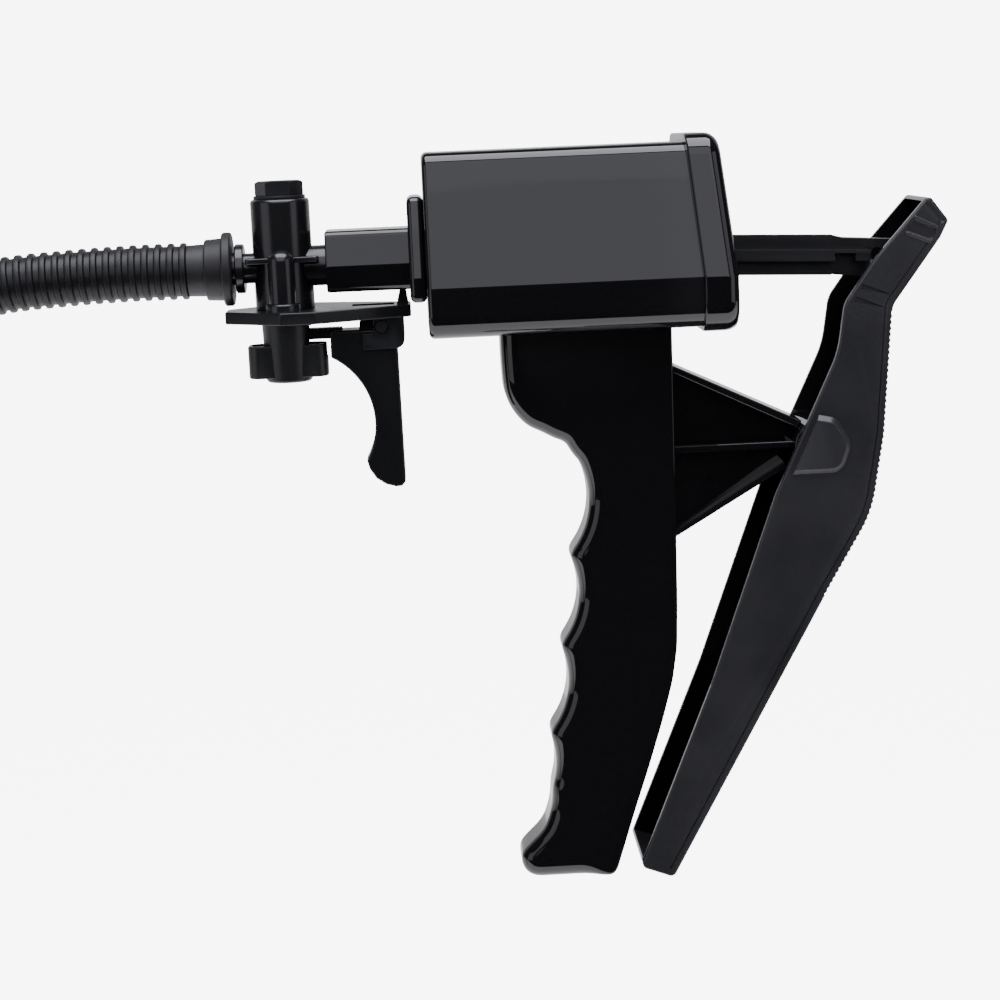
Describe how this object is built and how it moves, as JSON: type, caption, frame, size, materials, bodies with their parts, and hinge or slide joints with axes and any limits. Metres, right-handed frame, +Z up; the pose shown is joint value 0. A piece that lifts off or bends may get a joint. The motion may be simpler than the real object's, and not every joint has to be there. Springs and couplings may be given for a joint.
{
  "type": "pistol-grip hand vacuum pump",
  "caption": "Hand vacuum pump with box housing, finger-grooved grip, squeeze lever on a bracket, cross-shaped piston rod, trigger release valve and ribbed hose.",
  "frame": {"origin": "middle of the grip, on the centre plane, where the hand holds the pump", "axes": "+X from the hose at the front to the squeeze lever at the rear, +Y across the width, +Z up; the lever is squeezed at rest"},
  "size_m": [0.3183, 0.047, 0.336],
  "materials": {
    "gloss_shell": "polished black moulding",
    "satin_plastic": "satin black moulding",
    "lever_plastic": "fine-textured black moulding, semi-gloss",
    "inner_plastic": "natural moulding",
    "hose_plastic": "matt ribbed hose",
    "rubber": "matt rubber",
    "steel": "plain wire and pin steel"
  },
  "bodies": {
    "pump_body": {"housing": "gloss_shell", "rear_cap": "gloss_shell", "front_neck": "gloss_shell", "barrel": "inner_plastic", "rod_guide": "inner_plastic", "inlet_valve": "rubber", "return_spring": "steel", "grip": "gloss_shell", "pivot_bracket": "satin_plastic", "pivot_pin": "steel", "valve_body": "gloss_shell", "hex_plug": "gloss_shell", "plug_washer": "rubber", "valve_plate": "satin_plastic", "post_screws": "steel", "trigger_pin": "satin_plastic", "valve_cage": "satin_plastic", "valve_spring": "steel", "hose_barb": "satin_plastic", "hose_collar": "rubber", "hose_cuff": "rubber", "hose": "hose_plastic", "hose_end": "satin_plastic"},
    "squeeze_lever": {"lever": "lever_plastic", "rod_pin": "steel"},
    "piston_assembly": {"piston": "inner_plastic", "piston_cup": "rubber", "piston_screw": "steel", "piston_rod": "satin_plastic"},
    "release_trigger": {"trigger": "satin_plastic"},
    "release_stem": {"valve_stem": "inner_plastic", "stem_seal": "rubber"}
  },
  "joints": [
    {"name": "lever_pivot", "type": "hinge", "parent": "pump_body", "child": "squeeze_lever", "pos_m": [0.0494, 0, 0.0248], "axis": [0, -1, 0], "range_deg": [0, 22], "stiffness_Nm_per_rad": 1, "springref_deg": 45.84},
    {"name": "piston_slide", "type": "slide", "parent": "pump_body", "child": "piston_assembly", "axis": [-1, 0, 0], "range_m": [0, 0.0175], "deforming": ["return_spring"]},
    {"name": "trigger_pivot", "type": "hinge", "parent": "pump_body", "child": "release_trigger", "pos_m": [-0.0582, 0, 0.0591], "axis": [0, -1, 0], "range_deg": [0, 8], "stiffness_Nm_per_rad": 0.05, "springref_deg": -11.46},
    {"name": "stem_slide", "type": "slide", "parent": "pump_body", "child": "release_stem", "axis": [0, 0, -1], "range_m": [0, 0.0034], "deforming": ["valve_spring"]}
  ],
  "couplings": [
    {"joint": "piston_slide", "follows": "lever_pivot", "m_per_rad": 0.04513},
    {"joint": "stem_slide", "follows": "trigger_pivot", "m_per_rad": 0.0235}
  ]
}
